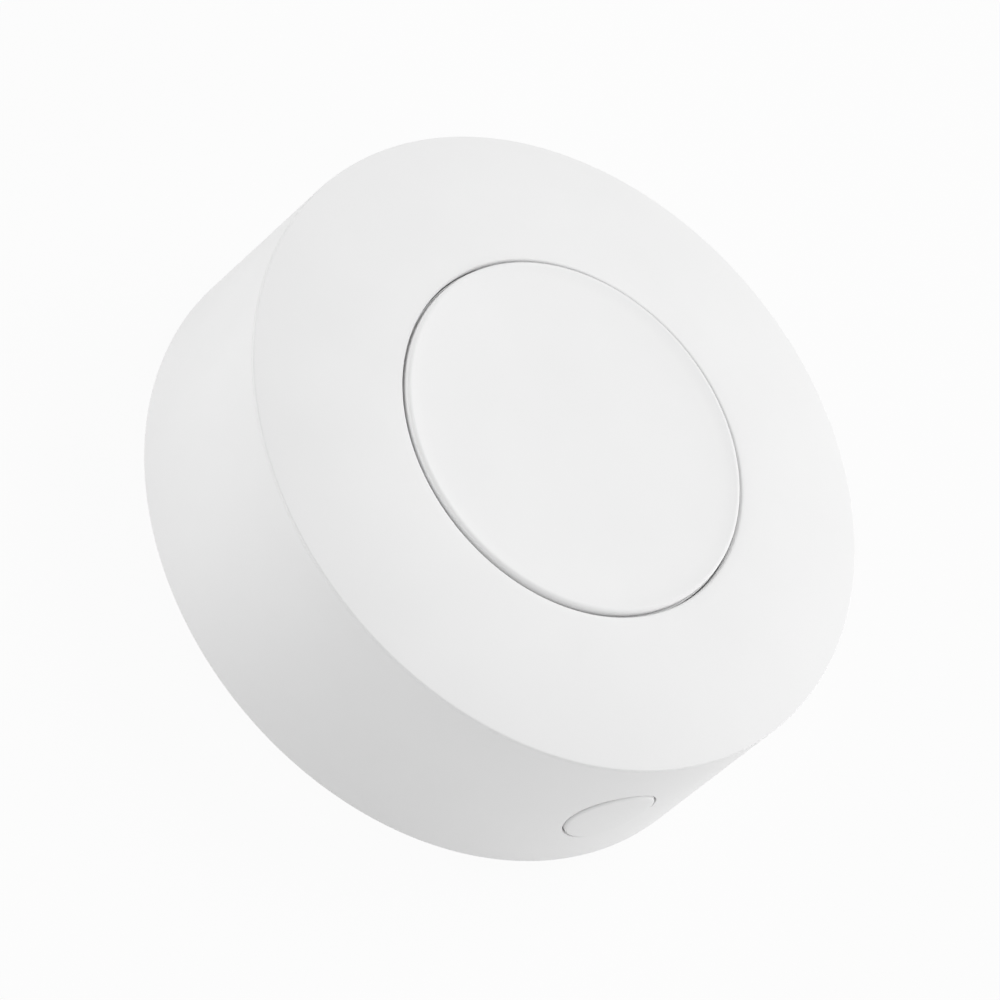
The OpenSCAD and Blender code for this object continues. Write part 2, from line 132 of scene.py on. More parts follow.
def rod(radius, start, stop, edge=0, sides=64):
    """A round bar between two points, its two end edges rounded."""
    start, stop = Vector(start), Vector(stop)
    bpy.ops.object.select_all(action="DESELECT")
    bpy.ops.mesh.primitive_cylinder_add(vertices=sides, radius=radius, depth=(stop - start).length)
    bar = bpy.context.object
    if edge:
        bpy.ops.object.mode_set(mode="EDIT")
        bpy.ops.mesh.select_mode(type="FACE")
        bpy.ops.mesh.select_all(action="DESELECT")
        bpy.ops.object.mode_set(mode="OBJECT")
        for face in bar.data.polygons:
            face.select = abs(face.normal.z) > 0.9
        bpy.ops.object.mode_set(mode="EDIT")
        bpy.ops.mesh.bevel(offset=edge, segments=4, affect="EDGES")
        bpy.ops.object.mode_set(mode="OBJECT")
    bar.rotation_mode = "QUATERNION"
    bar.rotation_quaternion = (stop - start).to_track_quat("Z", "Y")
    bar.location = (start + stop) / 2
    bpy.ops.object.transform_apply(location=True, rotation=True, scale=True)
    bar.rotation_mode = "XYZ"
    return bar


def pick(piece):
    """Makes one piece the only selected and active one."""
    bpy.ops.object.select_all(action="DESELECT")
    bpy.context.view_layer.objects.active = piece
    piece.select_set(True)


def swing(piece, degrees):
    """Turns a finished piece round the button's axis."""
    pick(piece)
    piece.rotation_euler = (0, 0, math.radians(degrees))
    bpy.ops.object.transform_apply(location=True, rotation=True, scale=True)
    return piece


def combine(piece, tool, operation):
    """A Boolean with a tool solid, which is used up."""
    pick(piece)
    bpy.ops.object.modifier_add(type="BOOLEAN")
    piece.modifiers[-1].operation = operation
    piece.modifiers[-1].solver = "EXACT"
    piece.modifiers[-1].object = tool
    bpy.ops.object.modifier_apply(modifier=piece.modifiers[-1].name)
    bpy.data.objects.remove(tool)


def smooth(piece, angle=32):
    """Smooth shading up to an angle, with the wide faces kept flat beside their rounded edges."""
    pick(piece)
    bpy.ops.object.shade_smooth_by_angle(angle=math.radians(angle))
    bpy.ops.object.modifier_add(type="WEIGHTED_NORMAL")
    piece.modifiers[-1].keep_sharp = True
    bpy.ops.object.modifier_apply(modifier=piece.modifiers[-1].name)


def new_material(name):
    """A new material, with its nodes, their linking call, its shader and the piece's own coordinates."""
    material = bpy.data.materials.new(name)
    material.use_nodes = True
    nodes = material.node_tree.nodes
    place = nodes.new("ShaderNodeTexCoord").outputs["Object"]
    return material, nodes, material.node_tree.links.new, nodes["Principled BSDF"], place


def noise(nodes, link, place, scale, detail=2, distortion=0):
    """Cloudy noise of a scale."""
    cloud = nodes.new("ShaderNodeTexNoise")
    cloud.inputs["Scale"].default_value = scale
    cloud.inputs["Detail"].default_value = detail
    cloud.inputs["Distortion"].default_value = distortion
    link(place, cloud.inputs["Vector"])
    return cloud.outputs["Fac"]


def shade(colour, factor):
    """A colour made darker or lighter."""
    return [factor * c for c in colour]


def tones(nodes, link, value, first, last, start=0, stop=1):
    """A ramp from one colour to another over a stretch of values."""
    ramp = nodes.new("ShaderNodeValToRGB")
    for mark, position, colour in zip(ramp.color_ramp.elements, (start, stop), (first, last)):
        mark.position = position
        mark.color = (*colour, 1)
    link(value, ramp.inputs["Fac"])
    return ramp.outputs["Color"]


def roughen(nodes, link, value, shader, middle, spread):
    """Roughness that varies about a middle."""
    gloss = nodes.new("ShaderNodeMapRange")
    gloss.inputs["To Min"].default_value = middle - spread
    gloss.inputs["To Max"].default_value = middle + spread
    link(value, gloss.inputs["Value"])
    link(gloss.outputs["Result"], shader.inputs["Roughness"])


def relief(nodes, link, value, shader, height, strength=1):
    """A shallow relief in a surface."""
    bump = nodes.new("ShaderNodeBump")
    bump.inputs["Distance"].default_value = height
    bump.inputs["Strength"].default_value = strength
    link(value, bump.inputs["Height"])
    link(bump.outputs["Normal"], shader.inputs["Normal"])


def moulded_plastic(name, colour, roughness, grain=0.10 * mm, depth=1.0, drift=0.012, shine=0.5):
    """Injection-moulded plastic: a fine spark-eroded grain, and a faint drift of tone and gloss."""
    material, nodes, link, shader, place = new_material(name)
    shader.inputs["IOR"].default_value = 1.49
    shader.inputs["Specular IOR Level"].default_value = shine
    flow = noise(nodes, link, place, 140, 3)
    tone = tones(nodes, link, flow, shade(colour, 1 - drift), shade(colour, 1 + drift), 0.25, 0.75)
    link(tone, shader.inputs["Base Color"])
    speck = noise(nodes, link, place, 1 / grain)
    roughen(nodes, link, speck, shader, roughness, 0.06)
    relief(nodes, link, speck, shader, 0.012 * depth * grain)
    return material


def coat(piece, material):
    """Gives a piece, or a solid that keeps its own shape, its finish."""
    piece.data.materials.clear()
    piece.data.materials.append(material)


def fit(piece, body, slot, *nodes):
    """Hangs a finished piece on its body in place of its solids."""
    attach(piece, body)
    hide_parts(*nodes)


def dress(piece, material, body, slot, node, angle=32):
    """Smooths a finished piece, coats it and hangs it on its body."""
    smooth(piece, angle)
    coat(piece, material)
    fit(piece, body, slot, node)


dome_edge = arc(dome_r - edge_round, edge_z, edge_round, 0, 90 - edge_slope, 8)
dome = bow(dome_edge[-1], edge_slope, (open_r + lip, open_z), top_slope, 48)
dome_cover = spin_outline("dome_cover", [(dome_r, part_z)] + dome_edge + dome[1:]
                          + arc(open_r + lip, open_z - lip, lip, 90, 180, 6)[1:]
                          + [(open_r, collar_z), (collar_r, collar_z), (collar_r, collar_back),
                             (skirt_in, part_z), (skirt_in, skirt_z), (skirt_r, skirt_z),
                             (skirt_r, part_z)])
for angle in screw_angles:
    boss = rod(boss_r, (screw_circle, 0, board_top), (screw_circle, 0, boss_root))
    combine(dome_cover, swing(boss, angle), "UNION")
    pilot = rod(pilot_r, (screw_circle, 0, board_top - mm), (screw_circle, 0, pilot_end))
    combine(dome_cover, swing(pilot, angle), "DIFFERENCE")
white_plastic = moulded_plastic("white_plastic", casing_white, matte, shine=matte_shine)
dress(dome_cover, white_plastic, "body", "casing_plastic", "front_cover")


# Damper ring: a flat ring of soft black foam, die-cut and stuck under the collar of the front cover.
# The push button's flange comes back against it without a click.
damper_low, damper_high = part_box("button_damper")
damper_in = 11.31 * mm
damper_out = damper_high.x
damper_edge = 0.05 * mm
damper_cell = 0.12 * mm
damper_black = (0.12, 0.12, 0.13)


def foam(name, colour, cell, roughness):
    """Closed-cell foam: shallow round cells with darker walls."""
    material, nodes, link, shader, place = new_material(name)
    shader.inputs["Roughness"].default_value = roughness
    shader.inputs["Specular IOR Level"].default_value = 0.25
    cells = nodes.new("ShaderNodeTexVoronoi")
    cells.inputs["Scale"].default_value = 1 / cell
    link(place, cells.inputs["Vector"])
    tone = tones(nodes, link, cells.outputs["Distance"], shade(colour, 1.08), shade(colour, 0.72))
    link(tone, shader.inputs["Base Color"])
    relief(nodes, link, cells.outputs["Distance"], shader, 0.15 * cell, 0.6)
    return material


ring_in = damper_in + damper_edge
ring_out = damper_out - damper_edge
ring_low = damper_low.z + damper_edge
ring_high = damper_high.z - damper_edge
damper_ring = spin_outline("damper_ring", arc(ring_in, ring_low, damper_edge, 180, 270, 4)
                           + arc(ring_out, ring_low, damper_edge, 270, 360, 4)
                           + arc(ring_out, ring_high, damper_edge, 0, 90, 4)
                           + arc(ring_in, ring_high, damper_edge, 90, 180, 4))
black_foam = foam("damper_foam", damper_black, damper_cell, 0.85)
dress(damper_ring, black_foam, "body", "damper_foam", "button_damper", 60)


# Push button: a white moulded cap with a gently dished face, guided by the collar of the front cover.
# A flange under the collar holds it in, and a boss under its middle presses the main switch.
cap_low, cap_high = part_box("button_cap")
cap_r = 11.05 * mm
cap_top = cap_high.z
cap_edge = 0.22 * mm
dish_border = 4.5 * mm
dish_rise = 0.2 * mm
lip_w = 0.8 * mm
lip_slope = 8
land_r = 11.15 * mm
land_z = open_z - 0.4 * mm
cap_under = 13.4 * mm
cap_wall = 1.1 * mm
cap_boss_r = 1.6 * mm
cap_boss_z = 11.93 * mm
flange_r = cap_high.x
flange_low = cap_low.z
flange_top = flange_low + 0.6 * mm


def dished(rim, steps):
    """Points of the button's face from its flat middle to the rim: a gentle dish, then a short lip."""
    points = []
    for i in range(steps + 1):
        inset = dish_border * (1 - i / steps)
        dish = dish_rise * (i / steps) ** 3
        upturn = max(0, lip_w - inset) ** 2 / lip_w * math.tan(math.radians(lip_slope)) / 2
        points.append((rim[0] - inset, dish + upturn))
    drop = rim[1] - points[-1][1]
    return [(r, h + drop) for r, h in points]


rim_slope = math.degrees(math.atan(3 * dish_rise / dish_border + math.tan(math.radians(lip_slope))))
cap_rim = arc(cap_r - cap_edge, cap_top - cap_edge, cap_edge, 90 + rim_slope, 0, 16)
cap_face = dished(cap_rim[0], 45)
push_cap = spin_outline("push_cap", [(0, cap_face[0][1])] + cap_face + cap_rim[1:]
                        + [(cap_r, land_z), (land_r, land_z), (land_r, flange_top),
                           (flange_r, flange_top), (flange_r, flange_low), (cap_r - cap_wall, flange_low),
                           (cap_r - cap_wall, cap_under), (cap_boss_r, cap_under), (cap_boss_r, cap_boss_z),
                           (0, cap_boss_z)])
dress(push_cap, white_plastic, "button", "casing_plastic", "button_cap")


# Circuit board: a round of glass-fibre laminate with copper tracks under a green solder mask.
# It is routed and drilled, and clamped by the screws between the front cover's bosses and the wall's lugs.
board_low, board_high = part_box("circuit_board")
board_z = board_low.z
board_r = board_high.x
board_edge = 0.04 * mm
screw_hole_r = 0.95 * mm
peg_hole_r = 0.38 * mm
peg_circle = 10.55 * mm
peg_angles = (30, 120, 200, 300)
mask_green = (0.03, 0.22, 0.10)
track_green = (0.06, 0.34, 0.16)
laminate_tan = (0.42, 0.36, 0.20)


def solder_mask(name):
    """Green mask over copper tracks that run one way or the other, and bare laminate on the cut edges."""
    material, nodes, link, shader, place = new_material(name)
    shader.inputs["Roughness"].default_value = 0.3
    runs = []
    for direction in ("X", "Y"):
        tracks = nodes.new("ShaderNodeTexWave")
        tracks.bands_direction = direction
        tracks.inputs["Scale"].default_value = 330
        link(place, tracks.inputs["Vector"])
        runs.append(tracks.outputs["Fac"])
    zone = nodes.new("ShaderNodeTexVoronoi")
    zone.distance = "CHEBYCHEV"
    zone.inputs["Scale"].default_value = 170
    link(place, zone.inputs["Vector"])
    way = nodes.new("ShaderNodeSeparateColor")
    link(zone.outputs["Color"], way.inputs["Color"])
    turn = nodes.new("ShaderNodeMath")
    turn.operation = "GREATER_THAN"
    link(way.outputs["Red"], turn.inputs[0])
    either = nodes.new("ShaderNodeMix")
    link(turn.outputs["Value"], either.inputs["Factor"])
    link(runs[0], either.inputs["A"])
    link(runs[1], either.inputs["B"])
    copper = tones(nodes, link, either.outputs["Result"], mask_green, track_green, 0.58, 0.64)
    facing = nodes.new("ShaderNodeNewGeometry")
    parts = nodes.new("ShaderNodeSeparateXYZ")
    link(facing.outputs["Normal"], parts.inputs["Vector"])
    level = nodes.new("ShaderNodeMath")
    level.operation = "ABSOLUTE"
    link(parts.outputs["Z"], level.inputs[0])
    cut_edge = nodes.new("ShaderNodeMix")
    cut_edge.data_type = "RGBA"
    cut_edge.inputs["A"].default_value = (*laminate_tan, 1)
    link(level.outputs["Value"], cut_edge.inputs["Factor"])
    link(copper, cut_edge.inputs["B"])
    link(cut_edge.outputs["Result"], shader.inputs["Base Color"])
    relief(nodes, link, either.outputs["Result"], shader, 0.02 * mm)
    return material


round_board = rod(board_r, (0, 0, board_z), (0, 0, board_top), board_edge, 192)
round_board.name = "round_board"
for angle in screw_angles:
    screw_hole = rod(screw_hole_r, (screw_circle, 0, board_z - mm), (screw_circle, 0, board_top + mm))
    combine(round_board, swing(screw_hole, angle), "DIFFERENCE")
for angle in peg_angles:
    peg_hole = rod(peg_hole_r, (peg_circle, 0, board_z - mm), (peg_circle, 0, board_top + mm), sides=32)
    combine(round_board, swing(peg_hole, angle), "DIFFERENCE")
dress(round_board, solder_mask("board_mask"), "body", "board_laminate", "circuit_board")


# Radio chip: a flat square package of black moulding compound on a plated lead frame.
# Its lands show as short plated bars along the four edges, and a dimple marks its first one.
chip_half = 2.46 * mm
chip_low = 0.02 * mm
chip_top = 0.85 * mm
chip_edge = 0.05 * mm
chip_circle = 11.78 * mm
chip_angle = 150
chip_turn = 15
dimple_at = 1.8 * mm
dimple_r = 0.3 * mm
dimple_floor = 0.8 * mm
land_in = 2.2 * mm
land_out = 2.5 * mm
land_first = -1.9 * mm
land_w = 0.28 * mm
land_t = 0.1 * mm
land_edge = 0.02 * mm
land_pitch = 0.5 * mm
land_count = 8
compound_black = (0.03, 0.03, 0.035)
steel_grey = (0.66, 0.66, 0.67)


def block(low, high, edge=0):
    """A box between two corners, its edges rounded."""
    bpy.ops.object.select_all(action="DESELECT")
    middle = [(a + b) / 2 for a, b in zip(low, high)]
    bpy.ops.mesh.primitive_cube_add(size=1, location=middle, scale=[b - a for a, b in zip(low, high)])
    bpy.ops.object.transform_apply(location=True, rotation=True, scale=True)
    if edge:
        bpy.ops.object.mode_set(mode="EDIT")
        bpy.ops.mesh.select_all(action="SELECT")
        bpy.ops.mesh.bevel(offset=edge, segments=3, affect="EDGES")
        bpy.ops.object.mode_set(mode="OBJECT")
    return bpy.context.object


def slab(half_x, half_y, low, high, edge, x=0):
    """A rounded box over a place on X, of two half widths and between two heights."""
    return block((x - half_x, -half_y, low), (x + half_x, half_y, high), edge)


def copied(piece):
    """A second piece with its own mesh."""
    pick(piece)
    bpy.ops.object.duplicate(linked=False)
    return bpy.context.object


def gather(name, pieces):
    """Joins loose pieces into one."""
    pick(pieces[0])
    for piece in pieces[1:]:
        piece.select_set(True)
    bpy.ops.object.join()
    pieces[0].name = name
    return pieces[0]


def seat(piece, radius, angle, height, turn):
    """Turns a piece made on the origin, and sets it at a radius, an angle and a height."""
    pick(piece)
    piece.rotation_euler = (0, 0, math.radians(turn))
    bearing = math.radians(angle)
    piece.location = (radius * math.cos(bearing), radius * math.sin(bearing), height)
    bpy.ops.object.transform_apply(location=True, rotation=True, scale=True)
    return piece


def rolled_metal(name, colour, roughness, pull=(1, 14, 14)):
    """Rolled or plated metal: fine drawn lines along one direction, and faint cloudy stains."""
    material, nodes, link, shader, place = new_material(name)
    shader.inputs["Metallic"].default_value = 1
    stain = noise(nodes, link, place, 420)
    tone = tones(nodes, link, stain, shade(colour, 0.9), colour, 0.3, 0.7)
    link(tone, shader.inputs["Base Color"])
    stretch = nodes.new("ShaderNodeMapping")
    stretch.inputs["Scale"].default_value = pull
    link(place, stretch.inputs["Vector"])
    lines = noise(nodes, link, stretch.outputs["Vector"], 900)
    roughen(nodes, link, lines, shader, roughness, 0.08)
    relief(nodes, link, lines, shader, 0.002 * mm)
    return material


compound = moulded_plastic("moulding_compound", compound_black, 0.5, 0.05 * mm, 2, 0.15)
bright_steel = rolled_metal("bright_steel", steel_grey, 0.3)
package = slab(chip_half, chip_half, chip_low, chip_top, chip_edge)
dimple = rod(dimple_r, (-dimple_at, dimple_at, dimple_floor), (-dimple_at, dimple_at, 1 * mm), sides=32)
combine(package, dimple, "DIFFERENCE")
coat(package, compound)
land_row = block((land_in, land_first, 0), (land_out, land_first + land_w, land_t), land_edge)
bpy.ops.object.modifier_add(type="ARRAY")
land_row.modifiers[-1].count = land_count
land_row.modifiers[-1].use_relative_offset = False
land_row.modifiers[-1].use_constant_offset = True
land_row.modifiers[-1].constant_offset_displace = (0, land_pitch, 0)
bpy.ops.object.modifier_apply(modifier=land_row.modifiers[-1].name)
coat(land_row, bright_steel)
land_rows = [land_row] + [swing(copied(land_row), turn) for turn in (90, 180, 270)]
flat_package = gather("flat_package", [package] + land_rows)
seat(flat_package, chip_circle, chip_angle, board_top, chip_turn)
smooth(flat_package)
fit(flat_package, "body", "package_black", "radio_chip")


# Crystal: a quartz plate sealed in a dark ceramic tray under a welded steel lid.
# It is soldered beside the radio chip and gives it its beat.
tray_x = 1.25 * mm
tray_y = 1.6 * mm
tray_top = 0.32 * mm
tray_edge = 0.03 * mm
lid_inset = 0.15 * mm
lid_foot = 0.3 * mm
lid_top = 0.7 * mm
lid_edge = 0.07 * mm
crystal_circle = 11.38 * mm
crystal_angle = 180
tray = slab(tray_x, tray_y, 0, tray_top, tray_edge)
coat(tray, compound)
welded_lid = slab(tray_x - lid_inset, tray_y - lid_inset, lid_foot, lid_top, lid_edge)
coat(welded_lid, bright_steel)
sealed_crystal = gather("sealed_crystal", [welded_lid, tray])
seat(sealed_crystal, crystal_circle, crystal_angle, board_top, 0)
smooth(sealed_crystal)
fit(sealed_crystal, "body", "steel", "crystal")


# Status light: a tiny chip light, a block of clear resin cast on a plated footing.
# It stands under the gap round the push button, which glows when it is lit.
resin_x = 0.55 * mm
resin_y = 0.38 * mm
resin_low = 0.18 * mm
resin_top = 0.6 * mm
resin_edge = 0.08 * mm
footing_x = 0.62 * mm
footing_y = 0.4 * mm
footing_low = 0.01 * mm
footing_top = 0.2 * mm
footing_edge = 0.02 * mm
end_at = 0.7 * mm
end_half = 0.1 * mm
end_top = 0.22 * mm
end_edge = 0.03 * mm
light_angle = 60
light_turn = 150
gold = (0.83, 0.63, 0.25)
resin_cream = (0.88, 0.86, 0.70)
footing_white = (0.8, 0.8, 0.78)


def cast_resin(name, colour):
    """Clear cast resin with a faint swirl of tint."""
    material, nodes, link, shader, place = new_material(name)
    shader.inputs["Roughness"].default_value = 0.12
    shader.inputs["Transmission Weight"].default_value = 0.6
    swirl = noise(nodes, link, place, 2500, distortion=1)
    link(tones(nodes, link, swirl, shade(colour, 0.94), colour), shader.inputs["Base Color"])
    return material


gilding = rolled_metal("gilding", gold, 0.28)
resin_block = slab(resin_x, resin_y, resin_low, resin_top, resin_edge)
coat(resin_block, cast_resin("cast_resin", resin_cream))
footing = slab(footing_x, footing_y, footing_low, footing_top, footing_edge)
coat(footing, moulded_plastic("footing_white", footing_white, 0.5))
footing_ends = []
for end in (-end_at, end_at):
    plated_end = slab(end_half, footing_y, 0, end_top, end_edge, end)
    coat(plated_end, gilding)
    footing_ends.append(plated_end)
chip_light = gather("chip_light", [resin_block, footing] + footing_ends)
seat(chip_light, open_r, light_angle, board_top, light_turn)
smooth(chip_light)
fit(chip_light, "body", "led_resin", "status_led")


# Chip capacitors and resistors: small blocks of fired ceramic between two tinned end caps.
# The capacitors stand in a row round the radio chip, and the resistors on the other side of the switch.
chip_part_l = 1 * mm
chip_part_w = 0.5 * mm
capacitor_h = 0.5 * mm
capacitor_circle = 7.58 * mm
capacitor_angles = range(108, 189, 16)
resistor_h = 0.35 * mm
resistor_circle = 8.58 * mm
resistor_angles = range(290, 333, 14)
ceramic_tan = (0.52, 0.40, 0.27)
substrate_white = (0.70, 0.69, 0.66)


def end_capped(name, height, fired, top):
    """One chip part on the origin: a fired body with a coloured top, between two tinned end caps."""
    length, width = chip_part_l, chip_part_w
    core = slab(0.42 * length, 0.46 * width, 0.03 * mm, 0.8 * height, 0.02 * mm)
    coat(core, fired)
    face = slab(0.3 * length, 0.46 * width, 0.7 * height, 0.96 * height, 0.02 * mm)
    coat(face, top)
    ends = []
    for end in (-0.38 * length, 0.38 * length):
        cap = slab(0.12 * length, width / 2, 0, height, 0.04 * mm, end)
        coat(cap, bright_steel)
        ends.append(cap)
    return gather(name, [core, face] + ends)


def in_row(name, piece, circle, angles):
    """Copies of one chip part, set round a circle and joined."""
    pieces = [piece] + [copied(piece) for _ in angles[1:]]
    for angle, chip in zip(angles, pieces):
        seat(chip, circle, angle, board_top, angle)
    return gather(name, pieces)


fired_ceramic = moulded_plastic("fired_ceramic", ceramic_tan, 0.6, 0.04 * mm, 2, 0.08)
substrate = moulded_plastic("ceramic_substrate", substrate_white, 0.6, 0.04 * mm, 2, 0.05)
capacitor = end_capped("capacitor", capacitor_h, fired_ceramic, fired_ceramic)
capacitor_row = in_row("capacitor_row", capacitor, capacitor_circle, capacitor_angles)
smooth(capacitor_row)
fit(capacitor_row, "body", "ceramic_tan", "chip_capacitors")
resistor = end_capped("resistor", resistor_h, substrate, compound)
resistor_row = in_row("resistor_row", resistor, resistor_circle, resistor_angles)
smooth(resistor_row)
fit(resistor_row, "body", "package_black", "chip_resistors")


# Reservoir capacitor: a pressed slug moulded in yellow epoxy, with a darker end that marks its pole.
# Tinned strips fold round its ends, and it carries the bursts of the radio.
slug_x = 1.3 * mm
slug_y = 1.75 * mm
slug_low = 0.06 * mm
slug_top = 1.6 * mm
slug_edge = 0.1 * mm
pole_x = -0.8 * mm
tin_at = 1.35 * mm
tin_half = 0.05 * mm
tin_y = 1.1 * mm
tin_top = 0.9 * mm
tin_edge = 0.03 * mm
slug_circle = 14.68 * mm
slug_angle = 240
epoxy_grain = 0.08 * mm
epoxy_yellow = (0.72, 0.45, 0.08)
pole_brown = (0.30, 0.14, 0.04)
epoxy_body = block((pole_x, -slug_y, slug_low), (slug_x, slug_y, slug_top), slug_edge)
coat(epoxy_body, moulded_plastic("yellow_epoxy", epoxy_yellow, 0.42, epoxy_grain, 1.5, 0.05))
pole_end = block((-slug_x, -slug_y, slug_low), (pole_x, slug_y, slug_top), slug_edge)
coat(pole_end, moulded_plastic("brown_epoxy", pole_brown, 0.42, epoxy_grain, 1.5, 0.05))
tin_strips = [slab(tin_half, tin_y, 0, tin_top, tin_edge, x) for x in (-tin_at, tin_at)]
for tin_strip in tin_strips:
    coat(tin_strip, bright_steel)
moulded_slug = gather("moulded_slug", [epoxy_body, pole_end] + tin_strips)
seat(moulded_slug, slug_circle, slug_angle, board_top, slug_angle)
smooth(moulded_slug)
fit(moulded_slug, "body", "capacitor_yellow", "reservoir_capacitor")


# Aerial and test pads: copper foil etched on the board and plated with gold.
# The aerial is folded along the board's edge, and the pads lie on its underside for the maker's tester.
coat(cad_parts["antenna_trace"], gilding)
coat(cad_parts["test_pads"], gilding)


# Main switch: a square tactile switch on bent legs, its black base closed by a riveted steel plate.
# A snap dome of spring steel lifts its nylon stem, and clicks through when the push button comes down.
tact_low, tact_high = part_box("main_switch_base")
plate_low, plate_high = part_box("main_switch_cover")
stem_low, stem_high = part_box("main_switch_stem")
legs_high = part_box("main_switch_legs")[1]
tact_edge = 0.08 * mm
plate_edge = 0.05 * mm
well_r = 2.3 * mm
rivet_at = 2.45 * mm
rivet_r = 0.35 * mm
rivet_edge = 0.06 * mm
rivet_gap = 0.03 * mm
rivet_root = tact_high.z - 0.2 * mm
rivet_top = plate_high.z + 0.1 * mm
stem_r = 1.75 * mm
stem_edge = 0.15 * mm
stem_gap = 0.08 * mm
stem_flange = stem_low.z + 0.4 * mm
leg_at = 2.25 * mm
leg_w = 0.7 * mm
leg_t = 0.2 * mm
leg_bend = 0.25 * mm
leg_edge = 0.03 * mm
nylon_black = (0.16, 0.16, 0.17)


def strip(name, outline, start, stop, edge):
    """A bent strip: its section drawn on edge, filled, drawn out along Y and its edges eased."""
    piece = draw(name, outline + outline[:1], start)
    bpy.ops.mesh.remove_doubles(threshold=0.001 * mm)
    bpy.ops.mesh.edge_face_add()
    bpy.ops.mesh.extrude_region_move(TRANSFORM_OT_translate={"value": (0, stop - start, 0)})
    bpy.ops.mesh.select_all(action="SELECT")
    bpy.ops.mesh.normals_make_consistent(inside=False)
    bpy.ops.mesh.select_all(action="DESELECT")
    bpy.ops.object.mode_set(mode="OBJECT")
    for line in piece.data.edges:
        a, b = [piece.data.vertices[i].co for i in line.vertices]
        line.select = abs(a.y - b.y) < 0.001 * mm
    bpy.ops.object.mode_set(mode="EDIT")
    bpy.ops.mesh.bevel(offset=edge, segments=2, affect="EDGES")
    bpy.ops.object.mode_set(mode="OBJECT")
    return piece


black_nylon = moulded_plastic("black_nylon", nylon_black, 0.42, 0.06 * mm, 1, 0.06)
tact_base = block(tact_low, tact_high, tact_edge)
tact_base.name = "tact_base"
well = rod(well_r, (0, 0, legs_high.z), (0, 0, tact_high.z + mm))
combine(tact_base, well, "DIFFERENCE")
tact_plate = block(plate_low, plate_high, plate_edge)
tact_plate.name = "tact_plate"
stem_hole = rod(stem_r + stem_gap, (0, 0, plate_low.z - mm), (0, 0, plate_high.z + mm))
combine(tact_plate, stem_hole, "DIFFERENCE")
for x, y in ((1, 1), (-1, 1), (-1, -1), (1, -1)):
    root = Vector((x * rivet_at, y * rivet_at, rivet_root))
    head = Vector((x * rivet_at, y * rivet_at, rivet_top))
    rivet_hole = rod(rivet_r + rivet_gap, root, head + Vector((0, 0, mm)), sides=32)
    combine(tact_plate, rivet_hole, "DIFFERENCE")
    combine(tact_base, rod(rivet_r, root, head, rivet_edge, 32), "UNION")
dress(tact_base, compound, "body", "package_black", "main_switch_base")
dress(tact_plate, bright_steel, "body", "steel", "main_switch_cover")
tact_stem = spin_outline("tact_stem", [(0, stem_low.z), (stem_high.x, stem_low.z),
                                       (stem_high.x, stem_flange), (stem_r, stem_flange)]
                         + arc(stem_r - stem_edge, stem_high.z - stem_edge, stem_edge, 0, 90, 5)
                         + [(0, stem_high.z)], 96)
dress(tact_stem, black_nylon, "main_stem", "stem_plastic", "main_switch_stem")
leg_x = tact_high.x
leg_foot = board_top + leg_t
leg_outline = ([(leg_x, legs_high.z), (leg_x + leg_t, legs_high.z)]
               + arc(leg_x + leg_bend, leg_foot + leg_bend - leg_t, leg_bend - leg_t, 180, 270, 3)
               + [(legs_high.x, leg_foot), (legs_high.x, board_top)]
               + arc(leg_x + leg_bend, board_top + leg_bend, leg_bend, 270, 180, 5))
legs = [strip("leg", leg_outline, y - leg_w / 2, y + leg_w / 2, leg_edge) for y in (-leg_at, leg_at)]
legs += [swing(copied(leg), 180) for leg in legs]
tact_legs = gather("tact_legs", legs)
dress(tact_legs, bright_steel, "body", "steel", "main_switch_legs")
coat(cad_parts["main_switch_dome"], bright_steel)


# Side switch: a small tactile switch that lies on its back under the board and faces the side key.
# Its black base has a steel front plate, and two tabs solder it to the board.
side_low, side_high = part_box("side_switch_base")
front_low, front_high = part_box("side_switch_cover")
push_low, push_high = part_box("side_switch_stem")
tabs_low, tabs_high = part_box("side_switch_legs")
key_z = 6.5 * mm
side_well_r = 1.2 * mm
side_well = 0.9 * mm
push_r = 0.8 * mm
push_flange_r = 1.1 * mm
push_flange = 0.45 * mm
push_edge = 0.04 * mm
push_round = 0.1 * mm
front_edge = 0.06 * mm
tab_edge = 0.04 * mm
side_base = block(side_low, side_high, tact_edge)
side_base.name = "side_base"
well = rod(side_well_r, (0, side_low.y + side_well, key_z), (0, side_low.y - mm, key_z))
combine(side_base, well, "DIFFERENCE")
dress(side_base, compound, "body", "package_black", "side_switch_base")
side_plate = block(front_low, front_high, front_edge)
side_plate.name = "side_plate"
push_hole = rod(push_r + stem_gap, (0, front_high.y + mm, key_z), (0, front_low.y - mm, key_z))
combine(side_plate, push_hole, "DIFFERENCE")
dress(side_plate, bright_steel, "body", "steel", "side_switch_cover")
push_back = push_high.y - push_flange
side_push = rod(push_flange_r, (0, push_high.y, key_z), (0, push_back, key_z), push_edge)
side_push.name = "side_push"
push_pin = rod(push_r, (0, push_high.y - push_round, key_z), (0, push_low.y, key_z), push_round)
combine(side_push, push_pin, "UNION")
dress(side_push, black_nylon, "side_stem", "stem_plastic", "side_switch_stem")
right_tab = block((side_high.x, tabs_low.y, tabs_low.z), tabs_high, tab_edge)
left_tab = block(tabs_low, (side_low.x, tabs_high.y, tabs_high.z), tab_edge)
solder_tabs = gather("solder_tabs", [right_tab, left_tab])
dress(solder_tabs, bright_steel, "body", "steel", "side_switch_legs")


